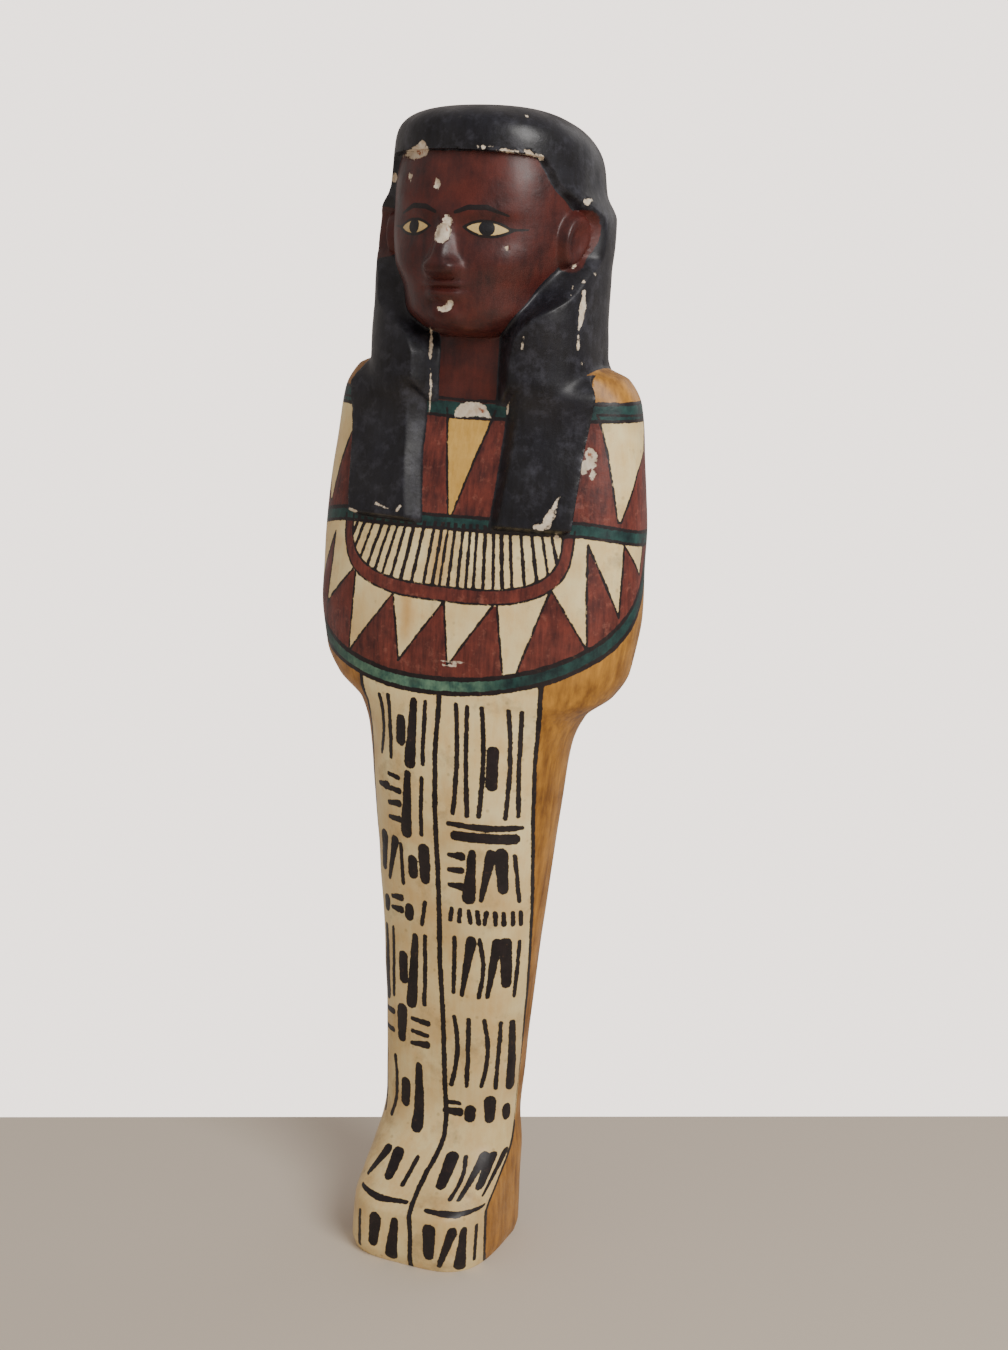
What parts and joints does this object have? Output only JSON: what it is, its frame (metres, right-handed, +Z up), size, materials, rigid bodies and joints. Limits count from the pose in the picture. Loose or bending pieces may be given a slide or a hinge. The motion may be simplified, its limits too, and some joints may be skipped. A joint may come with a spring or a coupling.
{
  "type": "ushabti figurine",
  "caption": "Mummy-shaped painted wooden figure that stands upright, with a long black wig, a striped and toothed collar, and a cream front panel down the legs to block feet",
  "frame": {"origin": "under the middle of the sole, centre of the bounding box's bottom face", "axes": "+Z up along the figure, the figure faces -Y, +X is the figure's left hand"},
  "size_m": [0.0702, 0.0432, 0.24],
  "materials": {
    "painted_wood": "painted over white ground and varnished to a gloss, with small chips"
  },
  "bodies": {
    "root": {"ushabti": "painted_wood"}
  },
  "joints": []
}
